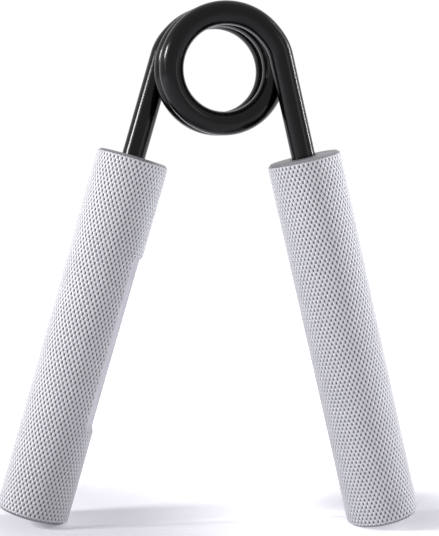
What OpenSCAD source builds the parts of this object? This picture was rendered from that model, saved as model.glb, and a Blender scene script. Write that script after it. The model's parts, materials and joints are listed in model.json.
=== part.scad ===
// Hand grip strengthener: two knurled bar handles on the legs of one wound spring wire.
// The part stands on its feet: +Z is up, the axis of the coil runs along Y, and the origin
// lies on the ground, at the middle of the part's box. Millimetres.

/* [Handles] */
// Diameter of a handle, over its knurl
handle_d = 22; // [18:0.5:28]
// Length of a handle
handle_l = 112.5; // [95:0.5:130]
// Chamfer round both ends of a handle
handle_chamfer = 0.9; // [0.3:0.1:2]
// How deep the wire sits in each handle
seat_l = 58; // [20:1:80]
// Radial room between the wire and its bore: none, a press fit drawn line to line
seat_clearance = 0; // [0:0.01:0.05]
// Empty bore past the end of the wire
bore_spare = 3; // [1:0.5:6]
// Chamfer round the mouth of the bore
mouth_chamfer = 0.6; // [0.2:0.1:1.5]
// Full angle of the drill point at the bottom of the bore
drill_angle = 118; // [90:1:140]

/* [Milled flat of the left handle] */
// Distance from the top of the handle to the flat
flat_start = 28; // [15:0.5:35]
// Length of the flat, with its two run-outs
flat_l = 56; // [30:0.5:58]
// Depth of the flat under the knurl
flat_depth = 1.5; // [0.5:0.1:2.5]
// Length of the sloped run-out at each end of the flat
flat_runout = 1.5; // [0.5:0.1:4]
// How far the flat is turned from straight inwards towards the front
flat_turn = 20; // [0:1:60]

/* [Spring] */
// Diameter of the wire
wire_d = 7.1; // [5:0.1:7.5]
// Diameter of the coil, through the middle of the wire
coil_d = 32.2; // [28:0.2:40]
// Distance from one turn of the coil to the next
coil_pitch = 8.3; // [8.2:0.1:11]
// Full turns in the coil, besides the part turn that the legs leave open
full_turns = 2; // [1:1:4]
// Angle between the two legs when nothing squeezes them
leg_spread = 29.6; // [20:0.1:40]
// Turn of the coil over which each end eases into its leg
ease_turn = 30; // [15:1:60]
// How far each leg stands outside the circle of the coil
leg_step = 0.4; // [0:0.1:1.5]
// Bare wire between the coil and the left handle
left_leg_bare = 32; // [20:0.1:50]
// Bare wire between the coil and the right handle
right_leg_bare = 30.7; // [20:0.1:50]
// Chamfer on the cut ends of the wire
wire_chamfer = 0.8; // [0.2:0.1:1.5]
// Sides of the coil's section
coil_sides = 16; // [8:2:24]
// Angle between one ring of the coil's surface and the next
ring_turn = 10; // [5:1:15]

/* [Hidden] */

handle_r = handle_d / 2;
wire_r = wire_d / 2;
coil_r = coil_d / 2;
half_spread = leg_spread / 2;
foot_r = handle_r - handle_chamfer;
bore_r = wire_r + seat_clearance;
bore_l = seat_l + bore_spare;
drill_tip = bore_r / tan(drill_angle / 2);

// The coil turns from the right leg, at the front, to the left leg, at the back.
coil_sweep = full_turns * 360 + 180 - leg_spread;
leg_r = coil_r + leg_step;
leg_y = coil_pitch * (coil_sweep - ease_turn) / 360 / 2;
// Each end of the coil's tube runs straight for one wire diameter before its leg takes over.
coil_stub = wire_d;

// Both feet rest on the ground, so the whole part turns by what the longer leg asks for.
left_reach = left_leg_bare + handle_l;
right_reach = right_leg_bare + handle_l;
level_turn = atan(
    (left_reach - right_reach) * cos(half_spread)
    / (2 * (leg_r - foot_r) * cos(half_spread) + (left_reach + right_reach) * sin(half_spread))
);
left_lean = half_spread + level_turn;
right_lean = half_spread - level_turn;
coil_height = left_reach * cos(left_lean) - (leg_r - foot_r) * sin(left_lean);
left_edge = -(leg_r + handle_r) * cos(left_lean) - (left_reach - handle_chamfer) * sin(left_lean);
right_edge = (leg_r + handle_r) * cos(right_lean) + (right_reach - handle_chamfer) * sin(right_lean);
coil_x = -(left_edge + right_edge) / 2;

// The flat's cutter stands this far out of the handle.
cutter_room = 1;
round_fn = 96;

aluminium = [0.80, 0.80, 0.83];
black_coat = [0.05, 0.05, 0.06];

// Smooth step from 0 to 1.
function smooth(t) = t * t * (3 - 2 * t);

// Share of the leg's step at a turn u of the coil: 1 where it meets a leg, 0 past the easing.
function step_share(u) =
    u < ease_turn ? smooth(1 - u / ease_turn)
    : u > coil_sweep - ease_turn ? smooth(1 - (coil_sweep - u) / ease_turn)
    : 0;

// Degrees of full climb up to a turn u: the climb starts and ends level, so the legs don't kink.
function climbed(u) =
    u < ease_turn ? u * u / (2 * ease_turn)
    : u > coil_sweep - ease_turn
        ? coil_sweep - ease_turn - pow(coil_sweep - u, 2) / (2 * ease_turn)
    : u - ease_turn / 2;

// Middle of the wire at a turn u, in the coil's own frame.
function coil_point(u) =
    let (r = coil_r + leg_step * step_share(u), angle = half_spread + u)
    [r * cos(angle), coil_pitch * climbed(u) / 360 - leg_y, r * sin(angle)];

// Middle of a leg at a distance s from the coil; side is 1 for the right leg, -1 for the left.
function leg_point(side, s) =
    [
        side * (leg_r * cos(half_spread) + s * sin(half_spread)),
        -side * leg_y,
        leg_r * sin(half_spread) - s * cos(half_spread)
    ];

function unit(v) = v / norm(v);

// The tube's own points: a straight stub, the coil, a straight stub.
ring_count = ceil(coil_sweep / ring_turn);
ring_turns = [for (i = [0 : ring_count]) coil_sweep * i / ring_count];
route = concat(
    [leg_point(1, coil_stub)],
    [for (u = ring_turns) coil_point(u)],
    [leg_point(-1, coil_stub)]
);
route_last = len(route) - 1;

// Direction of the wire at a point of the route. The legs' ends are square to the legs.
leg_down_right = unit(leg_point(1, 1) - leg_point(1, 0));
leg_down_left = unit(leg_point(-1, 1) - leg_point(-1, 0));
function route_direction(i) =
    i <= 1 ? -leg_down_right
    : i >= route_last - 1 ? leg_down_left
    : unit(route[i + 1] - route[i - 1]);

// One ring of the tube: n1 points away from the coil's axis, n2 is square to it and to the wire.
function ring(i) =
    let (
        along = route_direction(i),
        near = i == 0 ? route[1] : i == route_last ? route[route_last - 1] : route[i],
        outward = unit([near[0], 0, near[2]]),
        n1 = unit(outward - (outward * along) * along),
        n2 = cross(along, n1)
    )
    [for (j = [0 : coil_sides - 1])
        let (a = 360 * j / coil_sides)
        route[i] + wire_r * (cos(a) * n1 + sin(a) * n2)];

coil_vertices = [for (i = [0 : route_last]) each ring(i)];
function corner(i, j) = i * coil_sides + j % coil_sides;
coil_walls = [
    for (i = [0 : route_last - 1], j = [0 : coil_sides - 1])
        each [
            [corner(i, j), corner(i, j + 1), corner(i + 1, j + 1)],
            [corner(i, j), corner(i + 1, j + 1), corner(i + 1, j)]
        ]
];
coil_caps = [
    for (j = [1 : coil_sides - 2])
        each [
            [corner(0, 0), corner(0, j + 1), corner(0, j)],
            [corner(route_last, 0), corner(route_last, j), corner(route_last, j + 1)]
        ]
];

// Least gap of the wire to itself, measured between points a little apart along all of it.
gap_step = 2.5;
leg_gap_step = 1;
measured = concat(
    [for (s = [left_leg_bare : -leg_gap_step : leg_gap_step])
        [-s / coil_r * 180 / PI, leg_point(1, s)]],
    [for (u = [0 : gap_step : coil_sweep]) [u, coil_point(u)]],
    [for (s = [leg_gap_step : leg_gap_step : left_leg_bare])
        [coil_sweep + s / coil_r * 180 / PI, leg_point(-1, s)]]
);
least_gap = min([
    for (a = measured, b = measured)
        if (b[0] - a[0] > 180) norm(b[1] - a[1])
]) - wire_d;
echo(str("least gap of the spring wire to itself: ", least_gap, " mm"));

// From the coil's frame to the part's: the coil at its height, the part turned level.
module standing() {
    translate([coil_x, 0, coil_height])
        rotate([0, level_turn, 0])
            children();
}

// A side's frame: origin where the leg leaves the coil, +Z down the leg, +X towards the other leg.
module on_leg(left) {
    standing()
        rotate([0, 0, left ? 180 : 0])
            translate([leg_r * cos(half_spread), -leg_y, leg_r * sin(half_spread)])
                rotate([0, 180 - half_spread, 0])
                    children();
}

// A turned handle with its blind bore, from its top end at z = 0 to its foot.
module turned_handle() {
    rotate_extrude($fn = round_fn)
        polygon([
            [bore_r + mouth_chamfer, 0],
            [foot_r, 0],
            [handle_r, handle_chamfer],
            [handle_r, handle_l - handle_chamfer],
            [foot_r, handle_l],
            [0, handle_l],
            [0, bore_l + drill_tip],
            [bore_r, bore_l],
            [bore_r, mouth_chamfer]
        ]);
}

// What the mill takes off for the flat: a long wedge-ended bar across the handle.
module flat_cutter() {
    floor_r = handle_r - flat_depth;
    overrun = flat_runout * cutter_room / flat_depth;
    rotate([0, 0, flat_turn])
        rotate([90, 0, 0])
            linear_extrude(height = handle_d, center = true)
                polygon([
                    [floor_r, flat_start + flat_runout],
                    [handle_r + cutter_room, flat_start - overrun],
                    [handle_r + cutter_room, flat_start + flat_l + overrun],
                    [floor_r, flat_start + flat_l - flat_runout]
                ]);
}

// The straight wire of one leg, from the end of the coil's tube to its cut end in the handle.
module leg_wire(bare) {
    wire_end = bare + seat_l;
    rotate_extrude($fn = round_fn)
        polygon([
            [0, coil_stub],
            [wire_r, coil_stub],
            [wire_r, wire_end - wire_chamfer],
            [wire_r - wire_chamfer, wire_end],
            [0, wire_end]
        ]);
}

module left_handle() {
    color(aluminium)
        on_leg(true)
            translate([0, 0, left_leg_bare])
                difference() {
                    turned_handle();
                    flat_cutter();
                }
}

module right_handle() {
    color(aluminium)
        on_leg(false)
            translate([0, 0, right_leg_bare])
                turned_handle();
}

module spring_coil() {
    color(black_coat)
        standing()
            polyhedron(points = coil_vertices, faces = concat(coil_walls, coil_caps), convexity = 6);
}

module spring_left_leg() {
    color(black_coat)
        on_leg(true)
            leg_wire(left_leg_bare);
}

module spring_right_leg() {
    color(black_coat)
        on_leg(false)
            leg_wire(right_leg_bare);
}

left_handle();
right_handle();
spring_coil();
spring_left_leg();
spring_right_leg();
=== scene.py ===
# %% [markdown]
# # Dressing a hand grip strengthener
# Two knurled aluminium bars sit on the legs of one wound spring wire. The construction model is
# loaded first and stays fixed. It gives the places, the bodies that move and the size that the
# finished pieces have to keep. Every length below is in metres, so sizes are written as a number
# of millimetres times MM.

import bpy
import json
import math
from mathutils import Matrix, Vector


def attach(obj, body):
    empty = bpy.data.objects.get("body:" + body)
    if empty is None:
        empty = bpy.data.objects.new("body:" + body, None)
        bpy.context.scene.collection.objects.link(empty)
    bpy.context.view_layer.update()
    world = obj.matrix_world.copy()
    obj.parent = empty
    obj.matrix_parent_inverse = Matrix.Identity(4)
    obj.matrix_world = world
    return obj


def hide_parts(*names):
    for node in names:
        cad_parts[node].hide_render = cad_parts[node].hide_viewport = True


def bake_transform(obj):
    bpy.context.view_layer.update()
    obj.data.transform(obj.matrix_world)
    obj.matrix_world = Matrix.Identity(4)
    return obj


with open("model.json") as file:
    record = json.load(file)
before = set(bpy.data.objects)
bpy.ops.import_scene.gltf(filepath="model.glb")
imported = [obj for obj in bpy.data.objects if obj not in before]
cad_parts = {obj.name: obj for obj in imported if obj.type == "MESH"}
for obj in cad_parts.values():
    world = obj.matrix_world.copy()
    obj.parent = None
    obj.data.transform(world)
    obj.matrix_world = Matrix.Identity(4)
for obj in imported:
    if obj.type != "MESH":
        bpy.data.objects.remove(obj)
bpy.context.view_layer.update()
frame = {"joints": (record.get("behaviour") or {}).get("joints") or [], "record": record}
MM = 0.001
record = frame["record"]
mounts = {mount["name"]: mount for mount in record["mounts"]}

# %% [markdown]
# ## Reading the real sizes
# The two feet are stated as flat faces, each with its middle and the direction that it faces,
# which is the direction of its bar. The hinge runs through the middle of the coil. These few
# facts fix both bars and the whole route of the wire, so nothing is placed by eye.

# %% Sizes of the bars
BAR_D = 22 * MM
BAR_L = 112.5 * MM
END_CHAMFER = 0.9 * MM
WIRE_D = 7.1 * MM
SEAT_L = 58 * MM
BORE_SPARE = 3 * MM
MOUTH_CHAMFER = 0.6 * MM
DRILL_ANGLE = math.radians(118)
FLAT_START = 28 * MM
FLAT_L = 56 * MM
FLAT_DEPTH = 1.5 * MM
FLAT_RUNOUT = 1.5 * MM
FLAT_TURN = math.radians(20)


def bar_place(foot_mount, inward):
    """A bar's own frame: origin at its top end, +Z down the bar, +X towards the other bar."""
    foot = Vector(mounts[foot_mount]["pos_m"])
    down = Vector(mounts[foot_mount]["axis"]).normalized()
    across = (inward - inward.dot(down) * down).normalized()
    turn = Matrix((across, down.cross(across), down)).transposed()
    return Matrix.Translation(foot - down * BAR_L) @ turn.to_4x4()


left_place = bar_place("left_foot", Vector((1, 0, 0)))
right_place = bar_place("right_foot", Vector((-1, 0, 0)))
print("top of the left bar, mm:", [round(v / MM, 2) for v in left_place.translation])
print("top of the right bar, mm:", [round(v / MM, 2) for v in right_place.translation])


# %% [markdown]
# ## Two small helpers
# Colours are picked as sRGB hex values, as on a screen, but Blender's sockets want linear light,
# so one function turns one into the other. Node trees are built by one function as well: it adds
# a node, sets its options, and fills or links its inputs.

# %% Colour and node helpers
def srgb(hex_colour):
    """A linear RGBA colour from an sRGB hex value such as '#C8C8CE'."""
    levels = [int(hex_colour[i:i + 2], 16) / 255 for i in (1, 3, 5)]
    linear = [c / 12.92 if c <= 0.04045 else ((c + 0.055) / 1.055) ** 2.4 for c in levels]
    return (*linear, 1.0)


def add(tree, kind, inputs=None, **options):
    """Adds a node to a tree. An input is a value, or the socket that feeds it."""
    node = tree.nodes.new(kind)
    for name, value in options.items():
        setattr(node, name, value)
    for name, value in (inputs or {}).items():
        if isinstance(value, bpy.types.NodeSocket):
            tree.links.new(value, node.inputs[name])
        else:
            node.inputs[name].default_value = value
    return node


def new_material(name):
    """A material with only its output node, and that node."""
    material = bpy.data.materials.new(name)
    material.use_nodes = True
    material.node_tree.nodes.clear()
    return material, material.node_tree.nodes.new("ShaderNodeOutputMaterial")


# %% [markdown]
# ## The finish of the bars
# The bars are drawn 6000-series aluminium. Three tools leave three finishes on it. The knurling
# wheels press diamonds into the round and leave a dull, frosted surface, and painted shade darkens
# the pits towards their bottom. The lathe leaves fine rings on the ends and chamfers. A milling
# cutter leaves the flat smooth to the hand, with faint marks across it. All three read the bar's
# own coordinates, so that rings stay centred on the bar and depth is measured from its axis. A
# Mapping node of type TEXTURE does this: it takes Object coordinates back into the bar's frame.

# %% Bar coordinates inside a material
PIT_DEPTH = 0.46 * MM
# Down to here the metal keeps its own colour, and below it painted shade darkens the pit to its bottom.
PAINTED_SHADE_TOP = 0.3 * PIT_DEPTH


def bar_coordinates(tree, place):
    """Object coordinates turned into a bar's frame, in metres."""
    coordinates = add(tree, "ShaderNodeTexCoord")
    return add(tree, "ShaderNodeMapping", {
        "Vector": coordinates.outputs["Object"],
        "Location": place.translation,
        "Rotation": place.to_euler(),
    }, vector_type="TEXTURE").outputs["Vector"]


def radius_of(tree, local):
    """Distance from the bar's axis."""
    flat = add(tree, "ShaderNodeVectorMath", {0: local, 1: (1, 1, 0)}, operation="MULTIPLY")
    return add(tree, "ShaderNodeVectorMath", {0: flat.outputs[0]}, operation="LENGTH").outputs["Value"]


# %% Knurled aluminium
# Satin aluminium. Pressed diamonds scatter light, so it is rough. Bare aluminium gives back 0.9 of
# the light and this one about 0.5: its tone was matched in a room that is white to whatever
# mirrors it. Under other light it will probably look darker than real metal.
def knurled_aluminium(side, place):
    material, output = new_material(f"knurled_aluminium_{side}")
    tree = material.node_tree
    local = bar_coordinates(tree, place)
    radius = radius_of(tree, local)
    height = add(tree, "ShaderNodeMapRange", {
        "Value": radius, "From Min": BAR_D / 2 - PIT_DEPTH, "From Max": BAR_D / 2 - PAINTED_SHADE_TOP,
    })
    # Patches of handling, 6 mm wide, and a grain of 0.4 mm on the crests.
    patches = add(tree, "ShaderNodeTexNoise", {"Vector": local, "Scale": 1 / (6 * MM), "Detail": 3})
    grain = add(tree, "ShaderNodeTexNoise", {"Vector": local, "Scale": 1 / (0.4 * MM), "Detail": 2})
    metal = add(tree, "ShaderNodeMix", {
        "Factor": patches.outputs["Fac"], 6: srgb("#BEBEC1"), 7: srgb("#B4B4B8"),
    }, data_type="RGBA")
    # Painted shade: towards the bottom of each pit the colour sinks to near black.
    colour = add(tree, "ShaderNodeMix", {
        "Factor": height.outputs["Result"], 6: srgb("#2A2A2D"), 7: metal.outputs[2],
    }, data_type="RGBA")
    rough = add(tree, "ShaderNodeMapRange", {
        "Value": grain.outputs["Fac"], "From Min": 0.3, "From Max": 0.7, "To Min": 0.62, "To Max": 0.72,
    })
    bump = add(tree, "ShaderNodeBump", {
        "Height": grain.outputs["Fac"], "Strength": 0.6, "Distance": 0.02 * MM,
    })
    shader = add(tree, "ShaderNodeBsdfPrincipled", {
        "Base Color": colour.outputs[2], "Metallic": 1.0, "Roughness": rough.outputs["Result"],
        "Normal": bump.outputs["Normal"],
    })
    tree.links.new(shader.outputs[0], output.inputs["Surface"])
    return material


# %% Turned aluminium
# The feed of the tool leaves rings 0.3 mm apart, and their slopes spread what the metal mirrors.
# Its colour is lowered for the white room too, to about 0.3.
TURNING_FEED = 0.3 * MM


def turned_aluminium(side, place):
    material, output = new_material(f"turned_aluminium_{side}")
    tree = material.node_tree
    local = bar_coordinates(tree, place)
    # A ring wave repeats every 2 pi / 20 of its coordinate, so this scale gives one ring a feed.
    rings = add(tree, "ShaderNodeTexWave", {
        "Vector": local, "Scale": math.pi / 10 / TURNING_FEED, "Distortion": 0.6, "Detail": 1,
    }, wave_type="RINGS", rings_direction="Z")
    stain = add(tree, "ShaderNodeTexNoise", {"Vector": local, "Scale": 1 / (3 * MM), "Detail": 3})
    colour = add(tree, "ShaderNodeMix", {
        "Factor": stain.outputs["Fac"], 6: srgb("#9A999D"), 7: srgb("#8C8B90"),
    }, data_type="RGBA")
    bump = add(tree, "ShaderNodeBump", {
        "Height": rings.outputs["Fac"], "Strength": 0.5, "Distance": 0.02 * MM,
    })
    shader = add(tree, "ShaderNodeBsdfPrincipled", {
        "Base Color": colour.outputs[2], "Metallic": 1.0, "Roughness": 0.55,
        "Normal": bump.outputs["Normal"],
    })
    tree.links.new(shader.outputs[0], output.inputs["Surface"])
    return material


# %% Milled aluminium
# A fly cutter leaves an even satin, with faint bands across the bar at each step of its feed. Its
# colour is lowered for the white room too, to about 0.35.
MILLING_FEED = 0.8 * MM


def milled_aluminium(side, place):
    material, output = new_material(f"milled_aluminium_{side}")
    tree = material.node_tree
    local = bar_coordinates(tree, place)
    bands = add(tree, "ShaderNodeTexWave", {
        "Vector": local, "Scale": math.pi / 10 / MILLING_FEED, "Distortion": 1.5, "Detail": 2,
        "Detail Scale": 0.5,
    }, wave_type="BANDS", bands_direction="Z")
    haze = add(tree, "ShaderNodeTexNoise", {"Vector": local, "Scale": 1 / (4 * MM), "Detail": 4})
    colour = add(tree, "ShaderNodeMix", {
        "Factor": haze.outputs["Fac"], 6: srgb("#A6A4A9"), 7: srgb("#9A989E"),
    }, data_type="RGBA")
    rough = add(tree, "ShaderNodeMapRange", {
        "Value": haze.outputs["Fac"], "From Min": 0.3, "From Max": 0.7, "To Min": 0.48, "To Max": 0.58,
    })
    bump = add(tree, "ShaderNodeBump", {
        "Height": bands.outputs["Fac"], "Strength": 0.25, "Distance": 0.02 * MM,
    })
    shader = add(tree, "ShaderNodeBsdfPrincipled", {
        "Base Color": colour.outputs[2], "Metallic": 1.0, "Roughness": rough.outputs["Result"],
        "Normal": bump.outputs["Normal"],
    })
    tree.links.new(shader.outputs[0], output.inputs["Surface"])
    return material


bar_finishes = {
    side: [make(side, place) for make in (knurled_aluminium, turned_aluminium, milled_aluminium)]
    for side, place in (("left", left_place), ("right", right_place))
}
print("finishes:", [m.name for finishes in bar_finishes.values() for m in finishes])


# %% [markdown]
# ## The blank bar
# Before knurling, each handle is a plain turned bar: chamfered ends and a drilled blind bore for
# the wire. A lathe part is a profile turned round its axis, so a short function does the same
# with a list of (radius, height) points. The blank is left a little thick on the round, because
# the knurled surface will cut it to size.

# %% Turn the blank
TURNED_SIDES = 144


def lathe(name, profile, sides):
    """A closed solid of revolution round Z. The profile starts and ends on the axis."""
    rings = profile[1:-1]
    points = [(0, 0, profile[0][1]), (0, 0, profile[-1][1])]
    for radius, z in rings:
        for i in range(sides):
            angle = math.tau * i / sides
            points.append((radius * math.cos(angle), radius * math.sin(angle), z))
    faces = []
    for i in range(sides):
        j = (i + 1) % sides
        for k in range(len(rings) - 1):
            low = 2 + k * sides
            faces.append((low + i, low + j, low + sides + j, low + sides + i))
        last = 2 + (len(rings) - 1) * sides
        faces.append((0, 2 + j, 2 + i))
        faces.append((1, last + i, last + j))
    mesh = bpy.data.meshes.new(name)
    mesh.from_pydata(points, [], faces)
    return bpy.data.objects.new(name, mesh)


# How far the blank and the cutter stand out past the finished bar.
OVERSIZE = 0.6 * MM
bore_r = WIRE_D / 2
bore_l = SEAT_L + BORE_SPARE
foot_r = BAR_D / 2 - END_CHAMFER
blank = lathe("blank_bar", [
    (0, bore_l + bore_r / math.tan(DRILL_ANGLE / 2)),
    (bore_r, bore_l),
    (bore_r, MOUTH_CHAMFER),
    (bore_r + MOUTH_CHAMFER, 0),
    (foot_r, 0),
    (BAR_D / 2 + OVERSIZE, END_CHAMFER + OVERSIZE),
    (BAR_D / 2 + OVERSIZE, BAR_L - END_CHAMFER - OVERSIZE),
    (foot_r, BAR_L),
    (0, BAR_L),
], TURNED_SIDES)
print("blank:", len(blank.data.polygons), "faces")


# %% [markdown]
# ## The milled flat
# The left bar has one long flat on its inner side, turned a little to the front, where the mill
# has taken the diamonds off. The cutter is a bar with sloped ends, so the flat runs out gently.

# %% Shape the cutter
def flat_cutter():
    floor = BAR_D / 2 - FLAT_DEPTH
    overrun = FLAT_RUNOUT * OVERSIZE / FLAT_DEPTH
    outline = [
        (floor, FLAT_START + FLAT_RUNOUT),
        (BAR_D / 2 + OVERSIZE, FLAT_START - overrun),
        (BAR_D / 2 + OVERSIZE, FLAT_START + FLAT_L + overrun),
        (floor, FLAT_START + FLAT_L - FLAT_RUNOUT),
    ]
    points = [(x, side * BAR_D / 2, z) for side in (-1, 1) for x, z in outline]
    faces = [(0, 1, 2, 3), (7, 6, 5, 4)]
    faces += [(i, i + 4, (i + 1) % 4 + 4, (i + 1) % 4) for i in range(4)]
    mesh = bpy.data.meshes.new("flat_cutter")
    mesh.from_pydata(points, [], faces)
    mesh.transform(Matrix.Rotation(FLAT_TURN, 4, "Z"))
    return bpy.data.objects.new("flat_cutter", mesh)


cutter = flat_cutter()

# %% [markdown]
# ## One diamond of the knurl
# Knurling wheels roll two sets of slanting grooves that cross, and a diamond stands up between
# them. Fifty diamonds go round the bar and each is 2.37 mm tall, which is the common 30 degree
# knurl. A texture could fake this, but the diamonds are wide enough to catch the light one by
# one and to notch the edge of the bar, so they are modelled. One diamond is a low pyramid with
# a flat crest and a broken edge. Where two grooves cross they leave a deep pit, and halfway
# between two pits the metal stays higher, as a saddle. That takes 22 triangles.

# %% Make the diamond
DIAMONDS_AROUND = 50
DIAMOND_W = math.pi * BAR_D / DIAMONDS_AROUND
DIAMOND_H = 2.374 * MM
CREST_SHARE = 0.3
EDGE_SHARE = 0.5
EDGE_BREAK = 0.05 * MM
SADDLE_DEPTH = 0.12 * MM


def knurl_diamond():
    """One diamond, flat on the sheet: width along X, height along Y, out of the bar along Z."""
    corners = ((1, 0), (0, 1), (-1, 0), (0, -1))
    points = []
    for share, depth in ((1.0, -PIT_DEPTH), (EDGE_SHARE, -EDGE_BREAK), (CREST_SHARE, 0.0)):
        points += [(x * share * DIAMOND_W / 2, y * share * DIAMOND_H / 2, depth) for x, y in corners]
    points += [((x - y) * DIAMOND_W / 4, (x + y) * DIAMOND_H / 4, -SADDLE_DEPTH) for x, y in corners]
    faces = [(8, 9, 10, 11)]
    for i in range(4):
        j = (i + 1) % 4
        faces += [(i, 12 + i, 4 + i), (12 + i, j, 4 + j), (12 + i, 4 + j, 4 + i)]
        faces.append((4 + i, 4 + j, 8 + j, 8 + i))
    mesh = bpy.data.meshes.new("knurl_diamond")
    mesh.from_pydata(points, [], faces)
    return mesh


print("a diamond is", round(DIAMOND_W / MM, 3), "by", round(DIAMOND_H / MM, 3), "mm")


# %% [markdown]
# ## Knurling the bar
# This is what Geometry Nodes are for: one shape repeated thousands of times by a rule. The tree
# lays the diamonds out on a flat sheet, each second row moved half a diamond along, joins them,
# and rolls the sheet round the bar. The ends are drawn in to the axis, which makes the skin a
# closed solid. Where this solid and the blank overlap is the finished bar, and the cutter takes
# the flat off it.

# %% Build the knurling tree
# Points closer than this are one point.
MERGE_DISTANCE = 0.002 * MM


def tree_input(tree, name, kind, value=None):
    socket = tree.interface.new_socket(name, in_out="INPUT", socket_type=kind)
    if value is not None:
        socket.default_value = value
    return socket


knurling = bpy.data.node_groups.new("knurled_bar", "GeometryNodeTree")
tree_input(knurling, "Diamond", "NodeSocketGeometry")
tree_input(knurling, "Bar radius", "NodeSocketFloat", BAR_D / 2)
tree_input(knurling, "Bar length", "NodeSocketFloat", BAR_L)
tree_input(knurling, "Diamonds around", "NodeSocketInt", DIAMONDS_AROUND)
tree_input(knurling, "Diamond width", "NodeSocketFloat", DIAMOND_W)
tree_input(knurling, "Diamond height", "NodeSocketFloat", DIAMOND_H)
tree_input(knurling, "Blank", "NodeSocketObject")
tree_input(knurling, "Cutter", "NodeSocketObject")
tree_input(knurling, "Finish", "NodeSocketMaterial")
knurling.interface.new_socket("Bar", in_out="OUTPUT", socket_type="NodeSocketGeometry")
given = knurling.nodes.new("NodeGroupInput").outputs


def calculate(tree, operation, *values):
    """The result of one Math node."""
    return add(tree, "ShaderNodeMath", dict(enumerate(values)), operation=operation).outputs[0]


row_step = calculate(knurling, "DIVIDE", given["Diamond height"], 2.0)
rows = calculate(knurling, "ADD", calculate(knurling, "DIVIDE", given["Bar length"], row_step), 5.0)
rows = calculate(knurling, "FLOOR", rows)
sheet = add(knurling, "GeometryNodeMeshGrid", {
    "Vertices X": given["Diamonds around"],
    "Vertices Y": rows,
    "Size X": calculate(knurling, "MULTIPLY", given["Diamond width"],
                        calculate(knurling, "SUBTRACT", given["Diamonds around"], 1.0)),
    "Size Y": calculate(knurling, "MULTIPLY", row_step, calculate(knurling, "SUBTRACT", rows, 1.0)),
})
place_on_sheet = add(knurling, "ShaderNodeSeparateXYZ", {
    0: add(knurling, "GeometryNodeInputPosition").outputs[0],
})
half_rows = calculate(knurling, "DIVIDE", place_on_sheet.outputs["Y"], given["Diamond height"])
row_shift = calculate(knurling, "MULTIPLY", calculate(knurling, "FLOORED_MODULO", half_rows, 1.0),
                      given["Diamond width"])
staggered = add(knurling, "GeometryNodeSetPosition", {
    "Geometry": sheet.outputs["Mesh"],
    "Offset": add(knurling, "ShaderNodeCombineXYZ", {"X": row_shift}).outputs[0],
})
laid = add(knurling, "GeometryNodeInstanceOnPoints", {
    "Points": staggered.outputs[0], "Instance": given["Diamond"],
})
joined = add(knurling, "GeometryNodeRealizeInstances", {"Geometry": laid.outputs[0]})

# Rolling: along the sheet becomes the angle, up the sheet runs down the bar from its top end.
on_sheet = add(knurling, "ShaderNodeSeparateXYZ", {
    0: add(knurling, "GeometryNodeInputPosition").outputs[0],
})
angle = calculate(knurling, "DIVIDE", on_sheet.outputs["X"], given["Bar radius"])
radius = calculate(knurling, "ADD", on_sheet.outputs["Z"], given["Bar radius"])
rolled = add(knurling, "GeometryNodeSetPosition", {
    "Geometry": joined.outputs[0],
    "Position": add(knurling, "ShaderNodeCombineXYZ", {
        "X": calculate(knurling, "MULTIPLY", radius, calculate(knurling, "COSINE", angle)),
        "Y": calculate(knurling, "MULTIPLY", radius, calculate(knurling, "SINE", angle)),
        "Z": calculate(knurling, "ADD", on_sheet.outputs["Y"],
                       calculate(knurling, "DIVIDE", given["Bar length"], 2.0)),
    }).outputs[0],
})
skin = add(knurling, "GeometryNodeMergeByDistance", {
    "Geometry": rolled.outputs[0], "Distance": MERGE_DISTANCE,
})

# Closing: the open rims are drawn out, in to the axis, and merged to one point at each end.
edge_faces = add(knurling, "GeometryNodeInputMeshEdgeNeighbors").outputs[0]
rim = calculate(knurling, "COMPARE", edge_faces, 1.0, 0.1)
drawn = add(knurling, "GeometryNodeExtrudeMesh", {
    "Mesh": skin.outputs[0], "Selection": rim, "Offset Scale": 0.0,
}, mode="EDGES")
end_height = add(knurling, "ShaderNodeSeparateXYZ", {
    0: add(knurling, "GeometryNodeInputPosition").outputs[0],
})
past_middle = calculate(knurling, "GREATER_THAN", end_height.outputs["Z"],
                        calculate(knurling, "DIVIDE", given["Bar length"], 2.0))
end_place = calculate(knurling, "MULTIPLY_ADD", past_middle,
                      calculate(knurling, "ADD", given["Bar length"],
                                calculate(knurling, "MULTIPLY", given["Diamond height"], 4.0)),
                      calculate(knurling, "MULTIPLY", given["Diamond height"], -2.0))
capped = add(knurling, "GeometryNodeSetPosition", {
    "Geometry": drawn.outputs["Mesh"], "Selection": drawn.outputs["Top"],
    "Position": add(knurling, "ShaderNodeCombineXYZ", {"Z": end_place}).outputs[0],
})
solid = add(knurling, "GeometryNodeMergeByDistance", {
    "Geometry": capped.outputs[0], "Distance": MERGE_DISTANCE,
})

turned = add(knurling, "GeometryNodeMeshBoolean", {
    1: solid.outputs[0],
}, operation="INTERSECT", solver="MANIFOLD")
blank_shape = add(knurling, "GeometryNodeObjectInfo", {"Object": given["Blank"]})
knurling.links.new(blank_shape.outputs["Geometry"], turned.inputs[1])
milled = add(knurling, "GeometryNodeMeshBoolean", {
    0: turned.outputs["Mesh"],
    1: add(knurling, "GeometryNodeObjectInfo", {"Object": given["Cutter"]}).outputs["Geometry"],
}, operation="DIFFERENCE", solver="MANIFOLD")
real = add(knurling, "GeometryNodeRealizeInstances", {"Geometry": milled.outputs["Mesh"]})
finished = add(knurling, "GeometryNodeSetMaterial", {
    "Geometry": real.outputs[0], "Material": given["Finish"],
})
result = knurling.nodes.new("NodeGroupOutput")
knurling.links.new(finished.outputs[0], result.inputs[0])
print("knurling tree:", len(knurling.nodes), "nodes")


# %% [markdown]
# ## Baking the bars
# A tree is a recipe, and the library keeps plain meshes, so each bar is evaluated once and its
# modifier is taken off. The tools that made each face can be told from where it is: the lathe's
# faces lie on the ends, the chamfers and in the bore, the mill's lie on the plane of the flat or
# its two run-outs, and everything else is knurl.

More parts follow.
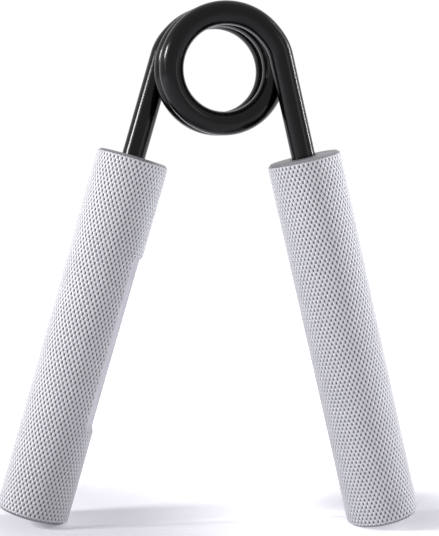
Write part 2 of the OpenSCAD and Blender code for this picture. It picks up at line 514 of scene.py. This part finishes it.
# %% Bake a tree and sort the faces by tool
def baked(name, start_mesh, tree, values):
    """The mesh that a Geometry Nodes tree makes from a start mesh, as a new plain object."""
    piece = bpy.data.objects.new(name, start_mesh)
    bpy.context.scene.collection.objects.link(piece)
    modifier = piece.modifiers.new(tree.name, "NODES")
    modifier.node_group = tree
    for socket in tree.interface.items_tree:
        if socket.in_out == "INPUT" and socket.name in values:
            modifier[socket.identifier] = values[socket.name]
    evaluated = piece.evaluated_get(bpy.context.evaluated_depsgraph_get())
    mesh = bpy.data.meshes.new_from_object(evaluated)
    piece.modifiers.remove(modifier)
    piece.data = mesh
    mesh.name = name
    return piece


KNURLED, TURNED, MILLED = range(3)
SLOPE = math.sqrt(0.5)
flat_out = Vector((math.cos(FLAT_TURN), math.sin(FLAT_TURN), 0))


def tool_of(face):
    """Which tool left a face, told from its place and direction in the bar's frame."""
    centre, normal = face.center, face.normal
    slanted = abs(abs(normal.z) - SLOPE) < 0.01
    near_end = min(centre.z, BAR_L - centre.z) < END_CHAMFER
    in_bore = math.hypot(centre.x, centre.y) < bore_r + MOUTH_CHAMFER
    if abs(normal.z) > 0.99 or in_bore or (slanted and near_end):
        return TURNED
    on_flat = centre.dot(flat_out) < BAR_D / 2 - FLAT_DEPTH + 0.01 * MM and normal.dot(flat_out) > 0.999
    on_runout = slanted and abs(normal.dot(flat_out) - SLOPE) < 0.01
    return MILLED if on_flat or on_runout else KNURLED


def knurled_handle(side, place, cut_flat):
    finishes = bar_finishes[side]
    bar = baked(f"{side}_knurled_handle", knurl_diamond(), knurling, {
        "Blank": blank, "Cutter": cutter if cut_flat else None, "Finish": finishes[KNURLED],
    })
    bar.data.materials.clear()
    for finish in finishes:
        bar.data.materials.append(finish)
    for face in bar.data.polygons:
        face.material_index = tool_of(face)
        face.use_smooth = False
    tools = [sum(f.material_index == tool for f in bar.data.polygons) for tool in range(3)]
    triangles = sum(len(f.vertices) - 2 for f in bar.data.polygons)
    print(bar.name, triangles, "triangles; faces knurled, turned, milled:", tools)
    bar.data.transform(place)
    return bar


left_bar = knurled_handle("left", left_place, True)
right_bar = knurled_handle("right", right_place, False)
bpy.data.objects.remove(blank)
bpy.data.objects.remove(cutter)

# %% [markdown]
# ## The route of the spring wire
# The spring is one length of wire. It comes up out of the right bar, at the front, turns nearly
# two and a half times round the coil while it climbs to the back, and goes down into the left bar.
# Each end of the coil eases out onto its leg over 30 degrees, so the wire has no kink. The route
# is a formula, and it is the same one that the construction model follows.

# %% Work out the route
COIL_D = 32.2 * MM
COIL_PITCH = 8.3 * MM
FULL_TURNS = 2
EASE_TURN = math.radians(30)
LEG_STEP = 0.4 * MM
LEFT_LEG_BARE = 32 * MM
RIGHT_LEG_BARE = 30.7 * MM
WIRE_CHAMFER = 0.8 * MM
WIRE_SIDES = 48
RING_TURN = math.radians(3)
LEG_RING_STEP = 6 * MM

left_lean = math.asin(-mounts["left_foot"]["axis"][0])
right_lean = math.asin(mounts["right_foot"]["axis"][0])
half_spread = (left_lean + right_lean) / 2
coil_sweep = FULL_TURNS * math.tau + math.pi - 2 * half_spread
leg_y = COIL_PITCH * (coil_sweep - EASE_TURN) / math.tau / 2
coil_centre = Vector(frame["joints"][0]["pos_m"])
standing = Matrix.Translation(coil_centre) @ Matrix.Rotation((left_lean - right_lean) / 2, 4, "Y")


def coil_point(u):
    """Middle of the wire after a turn u, counted from the right leg."""
    to_end = min(u, coil_sweep - u)
    eased = 1 - min(to_end / EASE_TURN, 1)
    r = COIL_D / 2 + LEG_STEP * eased * eased * (3 - 2 * eased)
    lag = EASE_TURN / 2 * eased ** 2
    climbed = u - EASE_TURN / 2 + (lag if u < coil_sweep / 2 else -lag)
    return Vector((r * math.cos(half_spread + u), COIL_PITCH * climbed / math.tau - leg_y,
                   r * math.sin(half_spread + u)))


def leg_point(side, s):
    """Middle of a leg at a distance s below the coil; side is 1 for the right leg, -1 for the left."""
    r = COIL_D / 2 + LEG_STEP
    return Vector((side * (r * math.cos(half_spread) + s * math.sin(half_spread)), -side * leg_y,
                   r * math.sin(half_spread) - s * math.cos(half_spread)))


def leg_stations(bare):
    """Distances down a leg where the tube gets a ring: even steps, and one above its chamfered end."""
    end = bare + SEAT_L
    steps = round((end - WIRE_CHAMFER) / LEG_RING_STEP)
    return [(end - WIRE_CHAMFER) * i / steps for i in range(1, steps + 1)] + [end]


coil_rings = math.ceil(coil_sweep / RING_TURN)
route = [leg_point(1, s) for s in reversed(leg_stations(RIGHT_LEG_BARE))]
route += [coil_point(coil_sweep * i / coil_rings) for i in range(coil_rings + 1)]
route += [leg_point(-1, s) for s in leg_stations(LEFT_LEG_BARE)]
wire_length = sum((b - a).length for a, b in zip(route, route[1:]))
print("wire:", round(wire_length / MM, 1), "mm long,", len(route), "points")

# %% [markdown]
# ## The finish of the spring
# The wire is drawn spring steel with a gloss black coating, which runs smooth as it cures. Almost
# all that the eye sees is reflection: bright lines along the wire where it mirrors a lamp, and a
# dark grey elsewhere, where it mirrors the white room. So the colour is close to black, the
# surface is smooth, and a very slight waviness, some 2.5 mm long, keeps the lines from looking
# drawn with a ruler.

# %% Black coating
# Such coatings have an IOR near 1.5 and give back 4% of the white room, which shows as a plain
# grey. This lower value gives back 1.5% and keeps the wire darker.
COATING_IOR = 1.28


def black_coating():
    material, output = new_material("gloss_black_coated_spring_steel")
    tree = material.node_tree
    coordinates = add(tree, "ShaderNodeTexCoord")
    wave = add(tree, "ShaderNodeTexNoise", {
        "Vector": coordinates.outputs["Object"], "Scale": 1 / (2.5 * MM), "Detail": 1,
    })
    dust = add(tree, "ShaderNodeTexNoise", {
        "Vector": coordinates.outputs["Object"], "Scale": 1 / (5 * MM), "Detail": 4,
    })
    rough = add(tree, "ShaderNodeMapRange", {
        "Value": dust.outputs["Fac"], "From Min": 0.3, "From Max": 0.7, "To Min": 0.16, "To Max": 0.20,
    })
    colour = add(tree, "ShaderNodeMix", {
        "Factor": dust.outputs["Fac"], 6: srgb("#010101"), 7: srgb("#030304"),
    }, data_type="RGBA")
    bump = add(tree, "ShaderNodeBump", {
        "Height": wave.outputs["Fac"], "Strength": 0.01, "Distance": 0.02 * MM,
    })
    shader = add(tree, "ShaderNodeBsdfPrincipled", {
        "Base Color": colour.outputs[2], "Roughness": rough.outputs["Result"], "IOR": COATING_IOR,
        "Normal": bump.outputs["Normal"],
    })
    tree.links.new(shader.outputs[0], output.inputs["Surface"])
    return material


black_coat = black_coating()

# %% [markdown]
# ## The wire itself
# A round wire along a route is a profile swept along a curve, which is again a job for Geometry
# Nodes: the route's points become a curve and a circle is swept along it. Near each cut end the
# circle shrinks, which gives the chamfer. Making the spring as one mesh, and not as a coil and two
# legs, leaves no joint to see.

# %% Build the wire tree and bake the spring
wire_tree = bpy.data.node_groups.new("spring_wire", "GeometryNodeTree")
tree_input(wire_tree, "Route", "NodeSocketGeometry")
tree_input(wire_tree, "Wire radius", "NodeSocketFloat", WIRE_D / 2)
tree_input(wire_tree, "Sides", "NodeSocketInt", WIRE_SIDES)
tree_input(wire_tree, "End chamfer", "NodeSocketFloat", WIRE_CHAMFER)
tree_input(wire_tree, "Coating", "NodeSocketMaterial")
wire_tree.interface.new_socket("Wire", in_out="OUTPUT", socket_type="NodeSocketGeometry")
given = wire_tree.nodes.new("NodeGroupInput").outputs
curve = add(wire_tree, "GeometryNodeMeshToCurve", {"Mesh": given["Route"]})
from_start = add(wire_tree, "GeometryNodeSplineParameter").outputs["Length"]
whole = add(wire_tree, "GeometryNodeSplineLength").outputs["Length"]
to_end = calculate(wire_tree, "MINIMUM", from_start, calculate(wire_tree, "SUBTRACT", whole, from_start))
thin = calculate(wire_tree, "MAXIMUM",
                 calculate(wire_tree, "SUBTRACT", given["End chamfer"], to_end), 0.0)
share = calculate(wire_tree, "SUBTRACT", 1.0, calculate(wire_tree, "DIVIDE", thin, given["Wire radius"]))
section = add(wire_tree, "GeometryNodeCurvePrimitiveCircle", {
    "Resolution": given["Sides"], "Radius": given["Wire radius"],
}, mode="RADIUS")
tube = add(wire_tree, "GeometryNodeCurveToMesh", {
    "Curve": curve.outputs[0], "Profile Curve": section.outputs["Curve"], "Scale": share,
    "Fill Caps": True,
})
corners = add(wire_tree, "GeometryNodeInputMeshFaceNeighbors").outputs["Vertex Count"]
smooth = add(wire_tree, "GeometryNodeSetShadeSmooth", {
    "Geometry": tube.outputs["Mesh"], "Selection": calculate(wire_tree, "LESS_THAN", corners, 5.0),
})
real = add(wire_tree, "GeometryNodeRealizeInstances", {"Geometry": smooth.outputs[0]})
coated = add(wire_tree, "GeometryNodeSetMaterial", {
    "Geometry": real.outputs[0], "Material": given["Coating"],
})
result = wire_tree.nodes.new("NodeGroupOutput")
wire_tree.links.new(coated.outputs[0], result.inputs[0])

route_mesh = bpy.data.meshes.new("spring_route")
route_mesh.from_pydata(route, [(i, i + 1) for i in range(len(route) - 1)], [])
spring = baked("coiled_spring", route_mesh, wire_tree, {"Coating": black_coat})
spring.data.transform(standing)
print(spring.name, sum(len(f.vertices) - 2 for f in spring.data.polygons), "triangles")

# %% [markdown]
# ## Joining the pieces to what moves
# Each bar rides on its side. The construction model's handles and spring pieces are hidden, and
# the spring's mesh is baked in place.

# %% Ride the bars and hide the construction pieces
for bar, side in ((left_bar, "left"), (right_bar, "right")):
    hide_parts(f"{side}_handle")
    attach(bar, f"{side}_side")
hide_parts("spring_coil", "spring_left_leg", "spring_right_leg")
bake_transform(spring)

# %% [markdown]
# ## The camera
# A long lens from a little left of the front and a little above shows both bars, the eye of the
# coil and its turns. The focal length is written in pixels of a 439 by 536 picture and turned to
# millimetres on a 36 mm sensor, which Blender fits to the picture's longer side.

# %% Place the camera
PICTURE_H = 536
FOCAL_PIXELS = 1463.9
SENSOR = 36
VIEW_AZIMUTH = math.radians(-12.903)
VIEW_ELEVATION = math.radians(4.557)
VIEW_ROLL = math.radians(0.686)
VIEW_DISTANCE = 441.65 * MM
VIEW_TARGET = coil_centre + Vector((0.4255, 0, -59.4145)) * MM

back = Vector((math.sin(VIEW_AZIMUTH) * math.cos(VIEW_ELEVATION),
               -math.cos(VIEW_AZIMUTH) * math.cos(VIEW_ELEVATION), math.sin(VIEW_ELEVATION)))
level_right = Vector((0, 0, 1)).cross(back).normalized()
level_up = back.cross(level_right)
right = level_right * math.cos(VIEW_ROLL) + level_up * math.sin(VIEW_ROLL)
up = back.cross(right)
lens = bpy.data.cameras.new("camera")
lens.lens = FOCAL_PIXELS * SENSOR / PICTURE_H
lens.sensor_width = SENSOR
lens.clip_start = 10 * MM
camera = bpy.data.objects.new("camera", lens)
camera.matrix_world = (Matrix.Translation(VIEW_TARGET + VIEW_DISTANCE * back)
                       @ Matrix((right, up, back)).transposed().to_4x4())
bpy.context.scene.collection.objects.link(camera)
bpy.context.scene.camera = camera
print("lens:", round(lens.lens, 2), "mm; camera at", [round(v / MM, 1) for v in camera.location])

# %% [markdown]
# ## Light
# Gloss black wire shows the room more than itself, so its lines need small boxes that are far
# brighter than the room. The box on the left draws the broad line on each wire, with a weak, wide
# one beside it to soften the line's edge. The narrow strip on the right draws the thin line, and
# a weaker one above it carries that line round the bend. A weak panel in front on the right adds
# a second, faint line. The boxes are low, because a straight leg mirrors one height only: the
# rest of a tall box would light the satin bars and nothing else.

# %% Hang the lamps
aim = Vector((0, 0, 85 * MM))


def softbox(name, azimuth, elevation, distance, width, height, power, tint):
    """A soft box that faces the part. Azimuth is counted from the front, positive to the right."""
    a, e = math.radians(azimuth), math.radians(elevation)
    away = Vector((math.sin(a) * math.cos(e), -math.cos(a) * math.cos(e), math.sin(e)))
    light = bpy.data.lights.new(name, "AREA")
    light.shape = "RECTANGLE"
    light.size, light.size_y = width, height
    light.energy = power
    light.color = srgb(tint)[:3]
    lamp = bpy.data.objects.new(name, light)
    facing = away.to_track_quat("Z", "Y").to_matrix().to_4x4()
    lamp.matrix_world = Matrix.Translation(aim + away * distance) @ facing
    bpy.context.scene.collection.objects.link(lamp)


# Name, azimuth and elevation in degrees, distance, width and height in metres, power in watts.
softbox("left_box", -87, 19, 0.7, 0.13, 0.13, 4.025, "#FFFFFF")
softbox("left_glow", -73, 12, 0.72, 0.22, 0.36, 0.46, "#FFFFFF")
softbox("right_strip", 90, 16, 0.7, 0.04, 0.28, 2.875, "#FDFDFF")
softbox("right_rise", 90, 36, 0.7, 0.04, 0.3, 0.46, "#FDFDFF")
softbox("right_panel", 40, 10, 0.8, 0.18, 0.5, 0.575, "#FDFDFF")

# %% [markdown]
# ## Room and floor
# Through Light Path, the eye and whatever mirrors the room see it white all round. What scatters
# light, such as the floor, gets it from grey walls with a white patch straight behind the part.
# The floor is pale and catches the shadows. To the eye and to what mirrors it, it glows up to a
# strength of 1 away from the feet, but beside each foot the glow sinks in a fixed pool: a painted
# shadow, which deepens the lamps' own shadow there. It sinks only where an Ambient Occlusion node
# finds the part standing near, so a foot that swings away takes nearly all of its painted shadow along.

# %% Build the room
def shows_background(tree):
    """1 for rays that show the background: from the eye, in a mirror and through glass."""
    rays = add(tree, "ShaderNodeLightPath").outputs
    mirrored = calculate(tree, "MAXIMUM", rays["Is Glossy Ray"], rays["Is Transmission Ray"])
    return calculate(tree, "MAXIMUM", rays["Is Camera Ray"], mirrored)


# The white patch, as cosines of the angle from straight back: its edge, and where it is full.
PATCH_EDGE = 0.93
PATCH_FULL = 0.99
world = bpy.data.worlds.new("room")
bpy.context.scene.world = world
world.use_nodes = True
room = world.node_tree
room.nodes.clear()
towards = add(room, "ShaderNodeSeparateXYZ", {
    0: add(room, "ShaderNodeTexCoord").outputs["Generated"],
})
behind = add(room, "ShaderNodeMapRange", {
    "Value": towards.outputs["Y"], "From Min": PATCH_EDGE, "From Max": PATCH_FULL,
}, interpolation_type="SMOOTHSTEP")
walls = add(room, "ShaderNodeMix", {
    "Factor": behind.outputs["Result"], 6: srgb("#69696A"), 7: srgb("#FFFFFF"),
}, data_type="RGBA")
seen = add(room, "ShaderNodeMix", {
    "Factor": shows_background(room), 6: walls.outputs[2], 7: srgb("#FFFFFF"),
}, data_type="RGBA")
background = add(room, "ShaderNodeBackground", {"Color": seen.outputs[2], "Strength": 1.0})
room.links.new(background.outputs[0], add(room, "ShaderNodeOutputWorld").inputs["Surface"])

# %% Lay the floor
FLOOR_HALF = 2.0
# Painted shadows beside the feet: where each is deepest, and how much tighter than the left one it is.
PAINTED_SHADOW_POOLS = ((-40 * MM, 15 * MM, 1.0), (66 * MM, 10 * MM, 1.8))
# The deepest part of a pool, its reach, and the share of the glow that is left at its deepest.
POOL_CORE = 8 * MM
POOL_REACH = 90 * MM
POOL_GLOW = 0.21
# How far the floor looks for the part. The sky over a point is shaded below the first share of
# open sky, and clear above the second.
SKY_REACH = 90 * MM
SKY_SHADED = 0.955
SKY_CLEAR = 0.98
floor_mesh = bpy.data.meshes.new("floor")
floor_mesh.from_pydata([(-FLOOR_HALF, -FLOOR_HALF, 0), (FLOOR_HALF, -FLOOR_HALF, 0),
                        (FLOOR_HALF, FLOOR_HALF, 0), (-FLOOR_HALF, FLOOR_HALF, 0)], [], [(0, 1, 2, 3)])
floor = bpy.data.objects.new("floor", floor_mesh)
bpy.context.scene.collection.objects.link(floor)
paper, output = new_material("pale_paper")
tree = paper.node_tree
# A pool is twice as long from front to back as it is wide.
flattened = add(tree, "ShaderNodeVectorMath", {
    0: add(tree, "ShaderNodeTexCoord").outputs["Object"], 1: (1, 0.5, 1),
}, operation="MULTIPLY")
to_pool = []
for x, y, shrink in PAINTED_SHADOW_POOLS:
    reach = add(tree, "ShaderNodeVectorMath", {
        0: flattened.outputs[0], 1: (x, y / 2, 0),
    }, operation="DISTANCE")
    to_pool.append(calculate(tree, "MULTIPLY", reach.outputs["Value"], shrink))
# Painted shadow: in fixed pools beside the feet the floor's glow sinks to POOL_GLOW.
pool = add(tree, "ShaderNodeMapRange", {
    "Value": calculate(tree, "MINIMUM", *to_pool),
    "From Min": POOL_CORE, "From Max": POOL_REACH, "To Min": POOL_GLOW, "To Max": 1.0,
}, interpolation_type="SMOOTHSTEP")
# The share of open sky over a point of the floor: 1 where nothing stands within reach of it.
sky = add(tree, "ShaderNodeAmbientOcclusion", {"Distance": SKY_REACH}, samples=32)
clear = add(tree, "ShaderNodeMapRange", {
    "Value": sky.outputs["AO"], "From Min": SKY_SHADED, "From Max": SKY_CLEAR,
}, interpolation_type="SMOOTHSTEP")
# The painted shadow of the pools shows only where the part stands near; elsewhere the floor glows fully.
glow = calculate(tree, "MAXIMUM", pool.outputs["Result"], clear.outputs["Result"])
strength = calculate(tree, "MULTIPLY", glow, shows_background(tree))
white = add(tree, "ShaderNodeEmission", {"Color": srgb("#F8F7FF"), "Strength": strength})
matt = add(tree, "ShaderNodeBsdfDiffuse", {"Color": srgb("#ECEBF1")})
both = add(tree, "ShaderNodeAddShader", {0: matt.outputs[0], 1: white.outputs[0]})
tree.links.new(both.outputs[0], output.inputs["Surface"])
floor.data.materials.append(paper)
bpy.context.scene.view_settings.view_transform = "Standard"
